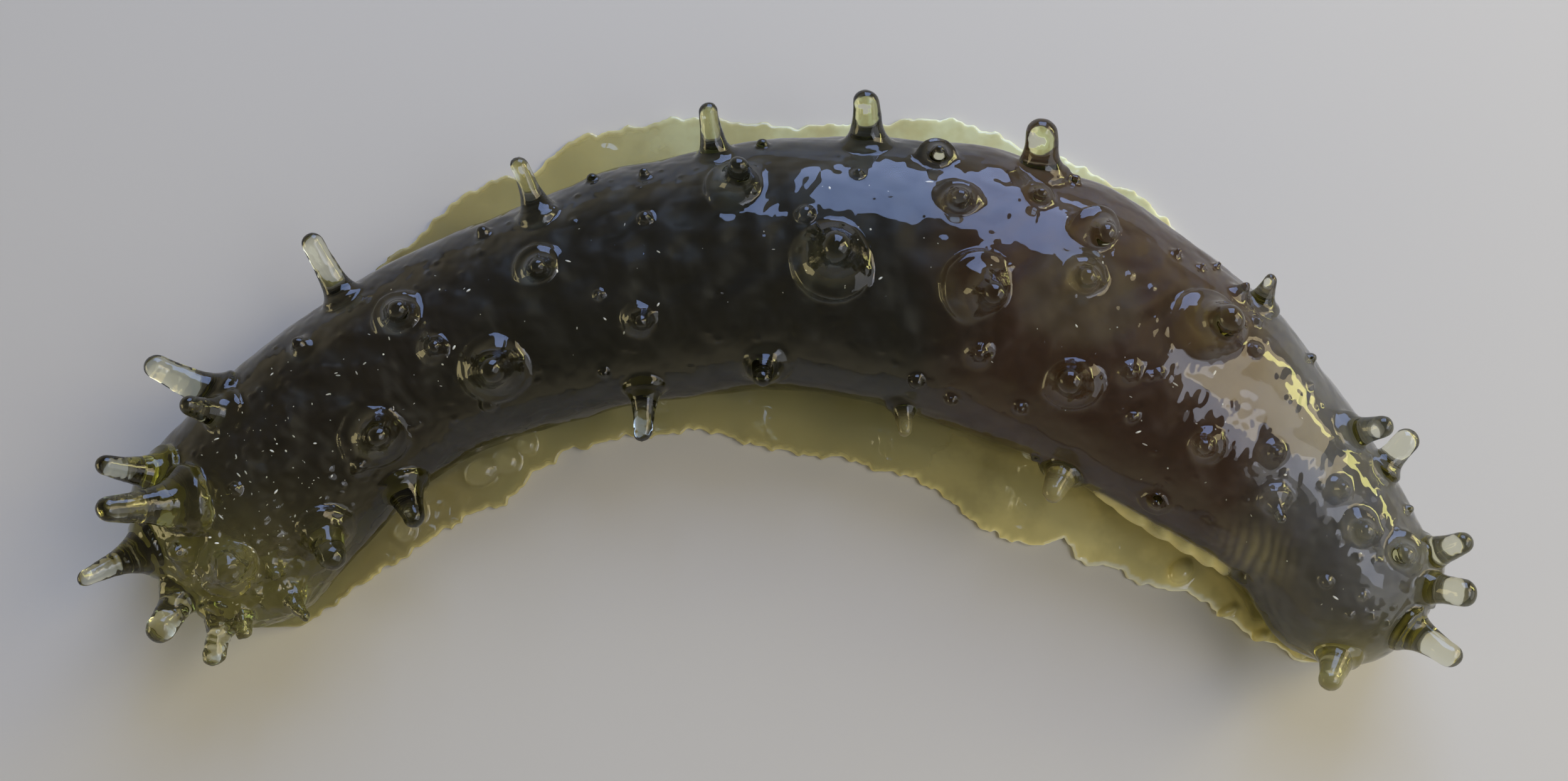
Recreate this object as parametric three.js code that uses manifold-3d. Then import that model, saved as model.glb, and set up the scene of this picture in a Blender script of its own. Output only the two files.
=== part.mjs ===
// A life-size cast of a sea cucumber in clear, smoke-tinted resin.
// It lies on its flat back in one long bend, ringed by the thin flash of resin that ran out round the mould.
// Millimetres, +Z up. The origin is on the flat underside, on the body's axis midway along the bend.
// +X runs from the head end to the tail end, and +Y points to the outer side of the bend.

import * as THREE from "three";
import { mergeVertices } from "three/addons/utils/BufferGeometryUtils.js";
import Module from "manifold-3d";

const wasm = await Module();
wasm.setup();

// Driving dimensions
const FLASH_THICKNESS = 1.8;
const GAP = 0.3; // between touching lengths, and between the body and the flash under it
const BODY_BASE = FLASH_THICKNESS + GAP;
const WIDEST_LEVEL = 0.45; // the widest level of the body, as a share of its height
const HEAD_ROUNDING = 0.6; // how far each rounded end reaches, in stations
const TAIL_ROUNDING = 0.55;
const END_BLUNTNESS = 2.4; // 2 is an ellipse, more is blunter
const BELLY_FULLNESS = 0.8; // under 1 fills the lower corners of the section
const BELLY_DEPTH = 1.15; // over 1 cuts the belly off flat at its base

// The body is lofted through stations about 39 mm apart, counted from the head end.
// Each has the axis point x and y, half the width, the height, and the flash's reach from the axis,
// first on the outer side of the bend and then on the inner side.
const STATIONS = [
  { x: -168, y: -89, half: 29, height: 35, outer: 29, inner: 29 },
  { x: -142, y: -58, half: 29, height: 40, outer: 30, inner: 33 },
  { x: -113, y: -32, half: 28, height: 42, outer: 34, inner: 40 },
  { x: -77, y: -15, half: 30, height: 44, outer: 48, inner: 36 },
  { x: -39, y: -4, half: 33, height: 47, outer: 54, inner: 40 },
  { x: 0, y: 0, half: 35, height: 50, outer: 49, inner: 49 },
  { x: 39, y: -5, half: 38, height: 52, outer: 55, inner: 52 },
  { x: 75, y: -19, half: 37, height: 52, outer: 49, inner: 57 },
  { x: 107, y: -42, half: 33, height: 48, outer: 37, inner: 47 },
  { x: 135, y: -71, half: 25, height: 42, outer: 27, inner: 32 },
  { x: 152, y: -105, half: 21, height: 36, outer: 21, inner: 21 },
];
const LAST = STATIONS.length - 1;

// The thin cuts that part the body and the flash into lengths, in stations
const CUTS = [1.33, 3.52, 5.54, 7.21];
const LENGTHS = ["head", "fore", "mid", "hind", "tail"];
const BODY_NAMES = {
  head: "head_end",
  fore: "fore_trunk",
  mid: "mid_trunk",
  hind: "hind_trunk",
  tail: "tail_end",
};

// The slabs that make those cuts are wider and taller than the model.
const SLAB_WIDTH = 150;
const SLAB_HEIGHT = 160;

// The ripple of the flash's edge: a long wave, and a short one that differs from side to side
const RIPPLE = { size: 0.7, longTurns: 9, shortTurns: 23, shortShare: 0.6 };

// Mesh fineness
const SIDES = 20;
const RINGS_PER_STATION = 4;
const ROUNDING_RINGS = 4;
const FLASH_STEPS_PER_STATION = 6;
const END_CROWDING = 0.5; // how strongly the flash's steps bunch up towards its rounded ends
const PAPILLA_SIDES = 8;
const SMALL_PAPILLA_SIDES = 6;
const MERGE_WITHIN = 1e-4;

// The papillae, the soft spikes of the skin, on each length from head to tail.
// Each row is: station along, degrees around (0 outer side, 90 top, 180 inner side), length, foot radius,
// tip radius, and where it isn't square to the skin, its lean in degrees towards the head and towards 180.
const PAPILLAE = [
  // the crown round the head end
  [0.14, 60, 17, 5.4, 2],
  [0.06, 108, 13, 4.2, 3.4, -15, 10],
  [0.14, 144, 13, 4, 2.7, -5, 10],
  [0.22, 147, 8, 3.4, 2.4, -20, 5],
  [0.34, 90, 4, 3, 1.8],
  [0.58, 48, 16, 4.8, 2.7, 15, 5],
  [0.56, 75, 21, 6, 3, 25, -12],
  [0.46, 117, 9, 5.4, 3.6, -20, 0],
  [0.5, 156, 11, 4.4, 1.2, -10, 0],
  [0.6, 137, 4, 2.6, 1.5],
  [1.13, 36, 19, 4.8, 3.3, 15, -15],
  [1.1, 54, 12, 4.2, 2.5, 15, 5],
  [1.02, 144, 13, 4.8, 3.5, 10, 5],
  // fore trunk
  [1.54, 129, 4, 2.9, 1.6],
  [1.62, 165, 12, 4.3, 2.6, 15, 0],
  [1.78, 123, 11, 6, 3.2, -10, -5],
  [1.74, 57, 3.5, 2.4, 1.3],
  [2.06, 34, 18, 4, 2.8, -5, -15],
  [2.34, 75, 9, 4.6, 2.5, -10, 20],
  [2.46, 99, 4.5, 2.9, 1.5, -10, 0],
  [2.78, 120, 12, 6, 3.2, -5, -5],
  [3.26, 81, 7, 4.1, 2.2, -10, 20],
  [3.34, 45, 15, 3.9, 2.3, -5, -20],
  // mid trunk
  [3.7, 160, 14, 3.8, 2.4, 5, 20],
  [3.82, 117, 6, 3.2, 1.7, -10, 0],
  [4.46, 33, 14, 3.6, 2.5],
  [4.58, 63, 12, 5.4, 2.6, -10, 10],
  [4.66, 150, 10, 4.6, 2.3, 5, -10],
  [5.18, 99, 13, 7, 4, -5, -10],
  [5.34, 33, 14, 4.6, 3],
  // hind trunk
  [5.74, 45, 7, 3.7, 1.8, -5, 40],
  [5.86, 171, 9, 3.4, 2, -15, -5],
  [5.9, 69, 8, 4.1, 2.4, 0, 25],
  [6.18, 102, 12, 6.2, 3.4, -20, 5],
  [6.3, 126, 3.5, 2.8, 1.6],
  [6.34, 33, 14, 5, 4, 15, 5],
  [6.36, 56, 6, 3, 1.7, 0, 30],
  [6.74, 63, 9, 4.5, 2.2, -20, 30],
  [6.78, 84, 7, 3.6, 2, 0, 15],
  [7.02, 123, 11, 5, 3, 10, -10],
  // tail end
  [7.34, 108, 3.5, 2.6, 1.5],
  [7.4, 174, 12, 4.6, 2.8, 5, -25],
  [7.6, 72, 13, 6.4, 3.4, -5, 5],
  [7.64, 42, 4, 2.5, 1.4],
  [7.78, 33, 9, 3.4, 1.9, 20, 5],
  [8.02, 114, 5, 3.3, 1.8, 10, 5],
  [8.06, 153, 5, 3, 1.5, 10, -30],
  [8.38, 96, 3.5, 2.5, 1.4],
  [8.62, 114, 7, 2.9, 1.6, -25, 20],
  [8.66, 51, 11, 3.9, 2.8, -10, 10],
  [8.82, 84, 3.5, 2.5, 1.4],
  [8.92, 39, 11, 3.5, 2.9, 20, -20],
  [9.1, 87, 6, 3.4, 1.9, 0, 15],
  [9.36, 69, 8, 4, 2.4, 10, 35],
  [9.46, 45, 13, 4.4, 2.7, 10, 10],
  [9.64, 54, 12, 4, 3.4, 0, 5],
  [9.86, 72, 14, 4.4, 3.5, -5, -10],
  [9.82, 145, 12, 3.9, 3, 15, -5],
];

// Low on the outer flank the papillae are only small buds, in a row that wanders up and down.
const FLANK_BUDS = {
  count: 8,
  from: 1.6,
  to: 8.6,
  around: -22,
  wander: 5,
  turn: 2.4,
  length: 4,
  foot: 2.8,
  tip: 1.5,
};

// Shape of one papilla: a flared foot, a slim shaft and a domed tip
const SMALL_PAPILLA = 8; // up to this length it has fewer sides
const FOOT_FLARE = 1.7;
const FOOT_SINK = 3; // how deep the foot reaches into the body
const SHAFT_LEVELS = [0.22, 0.55, 0.88]; // rings up the shaft, as shares of the length
const DOME = { level: 0.97, share: 0.6 }; // the last ring before the tip

// A smooth curve through one pair of the stations' values
function curveOf(first, second) {
  const points = STATIONS.map((s) => new THREE.Vector3(s[first], s[second], 0));
  return new THREE.CatmullRomCurve3(points, false, "catmullrom", 0.5);
}

const axisCurve = curveOf("x", "y");
const girthCurve = curveOf("half", "height");
const reachCurve = curveOf("outer", "inner");

const at = (curve, along) => curve.getPoint(THREE.MathUtils.clamp(along / LAST, 0, 1));

// The axis point at a station, with the directions to the tail and to the inner side of the bend
function axisFrame(along) {
  const nudge = 0.01;
  const tail = at(axisCurve, along + nudge).sub(at(axisCurve, along - nudge)).normalize();
  const inner = new THREE.Vector3(tail.y, -tail.x, 0);
  return { point: at(axisCurve, along), tail, inner };
}

// How much of the full section is left at a station, from 0 at the tips to 1
function rounding(along) {
  const fromHead = 1 - along / HEAD_ROUNDING;
  const fromTail = 1 - (LAST - along) / TAIL_ROUNDING;
  const past = Math.max(0, fromHead, fromTail);
  return Math.sqrt(Math.max(0, 1 - past ** END_BLUNTNESS));
}

// A point of the body from its shares of the section: inner is 1 at the inner flank, up is 1 at the top.
function bodyPoint(along, inner, up) {
  const frame = axisFrame(along);
  const girth = at(girthCurve, along);
  const widest = WIDEST_LEVEL * girth.y;
  const rise = (girth.y - widest) * up;
  const drop = BELLY_DEPTH * (widest - BODY_BASE) * Math.abs(up) ** BELLY_FULLNESS;
  const z = up > 0 ? widest + rise : Math.max(BODY_BASE, widest - drop);
  return frame.point.addScaledVector(frame.inner, girth.x * inner).setZ(z);
}

// A point of the skin at an angle round the body, in radians, where 0 is the outer flank
function skinPoint(along, around) {
  const share = rounding(along);
  return bodyPoint(along, -Math.cos(around) * share, Math.sin(around) * share);
}

// The skin's point with its outward, headward and innerward directions
function skinFrame(along, around) {
  const nudge = 0.002;
  const point = skinPoint(along, around);
  const headward = skinPoint(along - nudge, around).sub(skinPoint(along + nudge, around)).normalize();
  const round = skinPoint(along, around + nudge).sub(skinPoint(along, around - nudge)).normalize();
  const outward = new THREE.Vector3().crossVectors(headward, round).normalize();
  const innerward = new THREE.Vector3().crossVectors(outward, headward);
  return { point, outward, headward, innerward };
}

// The straight spindle of unit sections, which is then bent and swelled to the body's shape
function bodyGeometry() {
  const profile = [new THREE.Vector2(0, 0)];
  const addRing = (along) => profile.push(new THREE.Vector2(rounding(along), along));
  for (let i = 1; i <= ROUNDING_RINGS; i++) {
    addRing(HEAD_ROUNDING * (1 - Math.cos((i / ROUNDING_RINGS) * (Math.PI / 2))));
  }
  const straight = LAST - HEAD_ROUNDING - TAIL_ROUNDING;
  const rings = Math.round(straight * RINGS_PER_STATION);
  for (let i = 1; i < rings; i++) addRing(HEAD_ROUNDING + (straight * i) / rings);
  for (let i = ROUNDING_RINGS; i >= 1; i--) {
    addRing(LAST - TAIL_ROUNDING * (1 - Math.cos((i / ROUNDING_RINGS) * (Math.PI / 2))));
  }
  profile.push(new THREE.Vector2(0, LAST));
  const geometry = new THREE.LatheGeometry(profile, SIDES);
  const position = geometry.getAttribute("position");
  for (let i = 0; i < position.count; i++) {
    const p = bodyPoint(position.getY(i), position.getX(i), position.getZ(i));
    position.setXYZ(i, p.x, p.y, p.z);
  }
  return geometry;
}

// One papilla, standing on the skin
function papillaGeometry([along, around, length, foot, tip, leanHead = 0, leanInner = 0]) {
  const radiusAt = (level) => tip + (foot - tip) * (1 - level) ** FOOT_FLARE;
  const profile = [new THREE.Vector2(0, -FOOT_SINK), new THREE.Vector2(foot, -FOOT_SINK)];
  profile.push(new THREE.Vector2(foot, 0));
  for (const level of SHAFT_LEVELS) profile.push(new THREE.Vector2(radiusAt(level), level * length));
  profile.push(new THREE.Vector2(tip * DOME.share, DOME.level * length));
  profile.push(new THREE.Vector2(0, length));
  const sides = length > SMALL_PAPILLA ? PAPILLA_SIDES : SMALL_PAPILLA_SIDES;
  const geometry = new THREE.LatheGeometry(profile, sides);

  const skin = skinFrame(along, THREE.MathUtils.degToRad(around));
  const up = skin.outward.clone();
  up.addScaledVector(skin.headward, Math.tan(THREE.MathUtils.degToRad(leanHead)));
  up.addScaledVector(skin.innerward, Math.tan(THREE.MathUtils.degToRad(leanInner)));
  up.normalize();
  const turn = new THREE.Quaternion().setFromUnitVectors(new THREE.Vector3(0, 1, 0), up);
  return geometry.applyQuaternion(turn).translate(...skin.point);
}

// The low buds of the outer flank, spaced evenly along it with a slight wander up and down
function flankBuds() {
  const buds = FLANK_BUDS;
  return Array.from({ length: buds.count }, (_, i) => {
    const along = THREE.MathUtils.lerp(buds.from, buds.to, i / (buds.count - 1));
    const around = buds.around + buds.wander * Math.sin(buds.turn * i);
    return [along, around, buds.length, buds.foot, buds.tip];
  });
}

// The flash: a thin sheet under and around the body, with a slightly rippled edge.
// Its edge is given by side: 1 on the inner side of the bend and -1 on the outer side.
function flashGeometry() {
  const edgePoint = (along, side) => {
    const frame = axisFrame(along);
    const reach = at(reachCurve, along);
    const longWave = Math.sin(RIPPLE.longTurns * along);
    const shortWave = RIPPLE.shortShare * Math.sin(RIPPLE.shortTurns * along + side);
    const width = (side > 0 ? reach.y : reach.x) + RIPPLE.size * (longWave + shortWave);
    const p = frame.point.addScaledVector(frame.inner, side * width * rounding(along));
    return new THREE.Vector2(p.x, p.y);
  };
  const steps = LAST * FLASH_STEPS_PER_STATION;
  const stations = Array.from({ length: steps - 1 }, (_, i) => {
    const share = (i + 1) / steps;
    const eased = (1 - Math.cos(Math.PI * share)) / 2;
    return LAST * THREE.MathUtils.lerp(share, eased, END_CROWDING);
  });
  const outline = [
    edgePoint(0, 1),
    ...stations.map((along) => edgePoint(along, 1)),
    edgePoint(LAST, 1),
    ...stations.reverse().map((along) => edgePoint(along, -1)),
  ];
  return new THREE.ExtrudeGeometry(new THREE.Shape(outline), { depth: FLASH_THICKNESS, bevelEnabled: false });
}

// The thin slab that parts the model at one station
function cutGeometry(along) {
  const frame = axisFrame(along);
  const slab = new THREE.BoxGeometry(GAP, SLAB_WIDTH, SLAB_HEIGHT);
  slab.rotateZ(Math.atan2(frame.tail.y, frame.tail.x));
  return slab.translate(frame.point.x, frame.point.y, 0);
}

// A closed three.js mesh as a solid that can be joined and cut
function solid(geometry) {
  const bare = geometry.clone();
  bare.deleteAttribute("normal");
  bare.deleteAttribute("uv");
  const merged = mergeVertices(bare, MERGE_WITHIN);
  return new wasm.Manifold(
    new wasm.Mesh({
      numProp: 3,
      vertProperties: merged.getAttribute("position").array,
      triVerts: new Uint32Array(merged.index.array),
    }),
  );
}

// A solid back as three.js geometry
function geometryOf(made) {
  const mesh = made.getMesh();
  const geometry = new THREE.BufferGeometry();
  geometry.setAttribute("position", new THREE.BufferAttribute(mesh.vertProperties, mesh.numProp));
  geometry.setIndex(new THREE.BufferAttribute(mesh.triVerts, 1));
  geometry.computeVertexNormals();
  return geometry;
}

// Cuts a solid at every station of CUTS and gives its lengths, from head to tail
function cutIntoLengths(whole) {
  const parted = CUTS.reduce((rest, along) => rest.subtract(solid(cutGeometry(along))), whole);
  const middleX = (piece) => {
    const box = piece.boundingBox();
    return box.min[0] + box.max[0];
  };
  return parted.decompose().sort((a, b) => middleX(a) - middleX(b));
}

const smokedResin = () => new THREE.MeshStandardMaterial({ color: 0x2b231c, roughness: 0.12, metalness: 0 });
const paleResin = () => new THREE.MeshStandardMaterial({ color: 0x9c915a, roughness: 0.15, metalness: 0 });

const body = [...PAPILLAE, ...flankBuds()]
  .map((papilla) => solid(papillaGeometry(papilla)))
  .reduce((joined, papilla) => joined.add(papilla), solid(bodyGeometry()));
const bodyLengths = cutIntoLengths(body);
const flashLengths = cutIntoLengths(solid(flashGeometry()));

const group = new THREE.Group();
LENGTHS.forEach((length, i) => {
  const trunk = new THREE.Mesh(geometryOf(bodyLengths[i]), smokedResin());
  trunk.name = BODY_NAMES[length];
  const flash = new THREE.Mesh(geometryOf(flashLengths[i]), paleResin());
  flash.name = `flash_${length}`;
  group.add(trunk, flash);
});

export default group;
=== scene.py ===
# %% [markdown]
# A sea cucumber cast in smoked resin.
# The object is a life-size casting. A near-black brown core lies inside a skin of clear olive resin.
# The soft spikes of the animal, its papillae, came out as glassy cones, and a thin sheet of resin ran out
# round the mould and set as a ragged rim, the flash.
# A clear thing is drawn by what light does inside it, so the model needs real thickness everywhere:
# one closed skin for the resin, and one closed body for the core inside it.

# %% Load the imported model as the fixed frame
import math

import bpy
import numpy as np
from mathutils import Euler, Matrix, kdtree


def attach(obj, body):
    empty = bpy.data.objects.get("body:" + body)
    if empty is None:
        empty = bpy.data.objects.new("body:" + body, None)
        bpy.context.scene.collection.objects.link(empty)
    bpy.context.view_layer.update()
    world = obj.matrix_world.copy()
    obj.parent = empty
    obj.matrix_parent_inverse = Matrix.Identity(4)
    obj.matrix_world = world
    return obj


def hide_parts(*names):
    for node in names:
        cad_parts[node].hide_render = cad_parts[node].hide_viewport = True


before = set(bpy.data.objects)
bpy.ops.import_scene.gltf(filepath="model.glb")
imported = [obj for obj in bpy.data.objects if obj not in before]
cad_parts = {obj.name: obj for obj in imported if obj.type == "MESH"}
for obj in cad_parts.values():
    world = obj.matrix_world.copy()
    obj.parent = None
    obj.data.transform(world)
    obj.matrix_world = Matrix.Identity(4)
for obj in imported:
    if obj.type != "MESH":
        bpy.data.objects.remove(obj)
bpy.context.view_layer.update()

MM = 0.001
print("CAD nodes:", ", ".join(sorted(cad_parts)))

# %% [markdown]
# The camera looks down on the model from the inner side of the bend, ten degrees off the vertical.
# Its place comes from the lie of the floor in the picture, so it is set as a real distance and angle.

# %% Camera
CAMERA_AIM = np.array([-6, -31, 0]) * MM
CAMERA_DISTANCE = 377 * MM
CAMERA_ELEVATION = 80
SENSOR_WIDTH = 36
LENS = 30.17
NEAREST_SEEN = 10 * MM


def make_camera():
    """The camera stands off from its aim point along one line and looks back down that line."""
    camera = bpy.data.objects.new("camera", bpy.data.cameras.new("camera"))
    bpy.context.scene.collection.objects.link(camera)
    off_vertical = math.radians(90 - CAMERA_ELEVATION)
    back = np.array([0, -math.sin(off_vertical), math.cos(off_vertical)])
    camera.location = CAMERA_AIM + CAMERA_DISTANCE * back
    camera.rotation_euler = (off_vertical, 0, 0)
    camera.data.sensor_width = SENSOR_WIDTH
    camera.data.lens = LENS
    camera.data.clip_start = NEAREST_SEEN
    bpy.context.scene.camera = camera
    return camera


camera = make_camera()
print("camera at", [round(value / MM) for value in camera.location], "mm")

# %% [markdown]
# A mesh here is made from arrays: a grid of points, row by row, becomes a sheet of four-sided faces.
# Rows that run round a limb close on themselves, and a row of equal points closes an end.
# These helpers do that for every shape below, and pieces that belong together are joined as arrays too.

# %% Mesh helpers


def tube_faces(rows, columns):
    """The faces of a grid whose rows are closed rings, from the first row to the last."""
    row, column = np.meshgrid(np.arange(rows - 1), np.arange(columns), indexing="ij")
    here = row * columns + column
    beside = row * columns + (column + 1) % columns
    return np.stack([here, beside, beside + columns, here + columns], axis=-1).reshape(-1, 4)


def make_tube(rings):
    """A closed tube through rings of points, in rows by columns by 3; its end rows are single points."""
    rows, columns = rings.shape[:2]
    return rings.reshape(-1, 3), tube_faces(rows, columns)


def join_shapes(shapes):
    """Many (points, faces) pairs as one pair."""
    points, faces, start = [], [], 0
    for shape_points, shape_faces in shapes:
        points.append(shape_points)
        faces.append(shape_faces + start)
        start += len(shape_points)
    return np.concatenate(points), np.concatenate(faces)


def make_object(name, points, faces):
    """A smooth-shaded mesh object in the scene, from arrays in metres."""
    mesh = bpy.data.meshes.new(name)
    mesh.from_pydata(points.tolist(), [], faces.tolist())
    mesh.shade_smooth()
    piece = bpy.data.objects.new(name, mesh)
    bpy.context.scene.collection.objects.link(piece)
    return piece


# %% [markdown]
# Everything follows one bent axis, lying flat on the floor. The table gives it at eleven stations from the
# head end to the tail end, with the girth of the body and how far the flash reaches to either side.
# A Catmull-Rom curve runs through each column, which keeps the body smooth between stations.
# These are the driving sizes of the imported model, so that the skin lies where its solids lie.

# %% Stations along the bend
X, Y, HALF_WIDTH, HEIGHT, OUTER_REACH, INNER_REACH = range(6)
STATIONS = MM * np.array([
    [-168, -89, 29, 35, 29, 29],
    [-142, -58, 29, 40, 30, 33],
    [-113, -32, 28, 42, 34, 40],
    [-77, -15, 30, 44, 48, 36],
    [-39, -4, 33, 47, 54, 40],
    [0, 0, 35, 50, 49, 49],
    [39, -5, 38, 52, 55, 52],
    [75, -19, 37, 52, 49, 57],
    [107, -42, 33, 48, 37, 47],
    [135, -71, 25, 42, 27, 32],
    [152, -105, 21, 36, 21, 21],
])
LAST = len(STATIONS) - 1
HEAD_ROUNDING = 0.6
TAIL_ROUNDING = 0.55
END_BLUNTNESS = 2.4
WIDEST_LEVEL = 0.45
BELLY_FULLNESS = 0.8
BELLY_DEPTH = 1.15


def column_at(column, along):
    """The smooth curve through one column of the stations."""
    values = STATIONS[:, column]
    values = np.concatenate([[2 * values[0] - values[1]], values, [2 * values[-1] - values[-2]]])
    along = np.clip(along, 0, LAST)
    left = np.minimum(along.astype(int), LAST - 1)
    t = along - left
    before, start, end, after = (values[left + step] for step in range(4))
    bend = 2 * before - 5 * start + 4 * end - after
    twist = 3 * start - before - 3 * end + after
    return (2 * start + (end - before) * t + bend * t**2 + twist * t**3) / 2


def axis_frame(along):
    """The axis point at a station and the level direction from it to the inner side of the bend."""
    nudge = 0.01
    point = np.stack([column_at(X, along), column_at(Y, along), 0 * along], axis=-1)
    run_x = column_at(X, along + nudge) - column_at(X, along - nudge)
    run_y = column_at(Y, along + nudge) - column_at(Y, along - nudge)
    inner = np.stack([run_y, -run_x, 0 * along], axis=-1)
    return point, inner / np.linalg.norm(inner, axis=-1, keepdims=True)


def rounding(along):
    """How much of the full section is left at a station, from 0 at the tips to 1."""
    past = np.maximum(1 - along / HEAD_ROUNDING, 1 - (LAST - along) / TAIL_ROUNDING)
    return np.sqrt(np.maximum(0, 1 - np.clip(past, 0, 1) ** END_BLUNTNESS))


def body_point(along, inner, up):
    """A point of the body from its shares of the section: inner is 1 at the inner flank, up is 1 on top."""
    point, inward = axis_frame(along)
    height = column_at(HEIGHT, along)
    widest = WIDEST_LEVEL * height
    rise = (height - widest) * up
    drop = BELLY_DEPTH * widest * np.abs(up) ** BELLY_FULLNESS
    level = np.where(up > 0, widest + rise, np.maximum(0, widest - drop))
    place = point + inward * (column_at(HALF_WIDTH, along) * inner)[..., None]
    place[..., 2] = level
    return place


def skin_point(along, around):
    """A point of the skin at an angle round the body, in radians: 0 is the outer flank, pi / 2 the top."""
    share = rounding(along)
    return body_point(along, -np.cos(around) * share, np.sin(around) * share)


def skin_frame(along, around):
    """The skin's point with its outward, headward and innerward directions."""
    nudge = 0.002
    headward = skin_point(along - nudge, around) - skin_point(along + nudge, around)
    headward /= np.linalg.norm(headward)
    turn = skin_point(along, around + nudge) - skin_point(along, around - nudge)
    outward = np.cross(headward, turn)
    outward /= np.linalg.norm(outward)
    return skin_point(along, around), outward, headward, np.cross(outward, headward)


middle = skin_point(np.array(LAST / 2), np.array(math.pi / 2))
print("top of the body midway:", np.round(middle / MM, 1), "mm")

# %% [markdown]
# The trunk is a long tube of rings. They crowd together towards both rounded ends, as slices of a ball do,
# so that the ends come out round and not faceted.

# %% The trunk
TRUNK_RINGS = 420
TRUNK_SIDES = 160
END_RINGS = 40


def ring_stations(rings, end_rings):
    """Stations for the rings of a tube with two rounded ends, crowded towards the tips."""
    ease = 1 - np.cos(np.linspace(0, math.pi / 2, end_rings))
    middle_run = np.linspace(HEAD_ROUNDING, LAST - TAIL_ROUNDING, rings - 2 * end_rings + 2)[1:-1]
    return np.concatenate([HEAD_ROUNDING * ease, middle_run, (LAST - TAIL_ROUNDING * ease)[::-1]])


def make_trunk():
    """The smooth body under its papillae, flat on its back."""
    along = ring_stations(TRUNK_RINGS, END_RINGS)[:, None]
    around = np.linspace(0, 2 * math.pi, TRUNK_SIDES, endpoint=False)[None, :]
    return make_tube(skin_point(along + 0 * around, around + 0 * along))


trunk = make_trunk()
print("trunk:", len(trunk[1]), "faces")

# %% [markdown]
# The papillae are the animal's soft spikes. Each is a turned shape, a flared foot, a slim shaft and a domed
# tip, that stands on the skin and leans its own way. The foot flares out like a drop on a table, because
# resin always fills the corner between two surfaces.
# Rings run round each shaft, faint on most and deep round the crown of the head end, where the mould took
# the print of the tool that cut it.

# %% The papillae
# Each row is: station along, degrees around, length, foot radius and tip radius in mm, and where it isn't
# square to the skin, its lean in degrees towards the head and towards the inner side.
PAPILLAE = [
    # the crown round the head end
    [0.14, 60, 17, 5.4, 2],
    [0.06, 108, 13, 4.2, 3.4, -15, 10],
    [0.14, 144, 13, 4, 2.7, -5, 10],
    [0.22, 147, 8, 3.4, 2.4, -20, 5],
    [0.34, 90, 4, 3, 1.8],
    [0.58, 48, 16, 4.8, 2.7, 15, 5],
    [0.56, 75, 21, 6, 3, 25, -12],
    [0.46, 117, 9, 5.4, 3.6, -20, 0],
    [0.5, 156, 11, 4.4, 1.2, -10, 0],
    [0.6, 137, 4, 2.6, 1.5],
    [1.13, 36, 19, 4.8, 3.3, 15, -15],
    [1.1, 54, 12, 4.2, 2.5, 15, 5],
    [1.02, 144, 13, 4.8, 3.5, 10, 5],
    # fore trunk
    [1.54, 129, 4, 2.9, 1.6],
    [1.62, 165, 12, 4.3, 2.6, 15, 0],
    [1.78, 123, 11, 6, 3.2, -10, -5],
    [1.74, 57, 3.5, 2.4, 1.3],
    [2.06, 34, 18, 4, 2.8, -5, -15],
    [2.34, 75, 9, 4.6, 2.5, -10, 20],
    [2.46, 99, 4.5, 2.9, 1.5, -10, 0],
    [2.78, 120, 12, 6, 3.2, -5, -5],
    [3.26, 81, 7, 4.1, 2.2, -10, 20],
    [3.34, 45, 15, 3.9, 2.3, -5, -20],
    # mid trunk
    [3.7, 160, 14, 3.8, 2.4, 5, 20],
    [3.82, 117, 6, 3.2, 1.7, -10, 0],
    [4.46, 33, 14, 3.6, 2.5],
    [4.58, 63, 12, 5.4, 2.6, -10, 10],
    [4.66, 150, 10, 4.6, 2.3, 5, -10],
    [5.18, 99, 13, 7, 4, -5, -10],
    [5.34, 33, 14, 4.6, 3],
    # hind trunk
    [5.74, 45, 7, 3.7, 1.8, -5, 40],
    [5.86, 171, 9, 3.4, 2, -15, -5],
    [5.9, 69, 8, 4.1, 2.4, 0, 25],
    [6.18, 102, 12, 6.2, 3.4, -20, 5],
    [6.3, 126, 3.5, 2.8, 1.6],
    [6.34, 33, 14, 5, 4, 15, 5],
    [6.36, 56, 6, 3, 1.7, 0, 30],
    [6.74, 63, 9, 4.5, 2.2, -20, 30],
    [6.78, 84, 7, 3.6, 2, 0, 15],
    [7.02, 123, 11, 5, 3, 10, -10],
    # tail end
    [7.34, 108, 3.5, 2.6, 1.5],
    [7.4, 174, 12, 4.6, 2.8, 5, -25],
    [7.6, 72, 13, 6.4, 3.4, -5, 5],
    [7.64, 42, 4, 2.5, 1.4],
    [7.78, 33, 9, 3.4, 1.9, 20, 5],
    [8.02, 114, 5, 3.3, 1.8, 10, 5],
    [8.06, 153, 5, 3, 1.5, 10, -30],
    [8.38, 96, 3.5, 2.5, 1.4],
    [8.62, 114, 7, 2.9, 1.6, -25, 20],
    [8.66, 51, 11, 3.9, 2.8, -10, 10],
    [8.82, 84, 3.5, 2.5, 1.4],
    [8.92, 39, 11, 3.5, 2.9, 20, -20],
    [9.1, 87, 6, 3.4, 1.9, 0, 15],
    [9.36, 69, 8, 4, 2.4, 10, 35],
    [9.46, 45, 13, 4.4, 2.7, 10, 10],
    [9.64, 54, 12, 4, 3.4, 0, 5],
    [9.86, 72, 14, 4.4, 3.5, -5, -10],
    [9.82, 145, 12, 3.9, 3, 15, -5],
]
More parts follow.
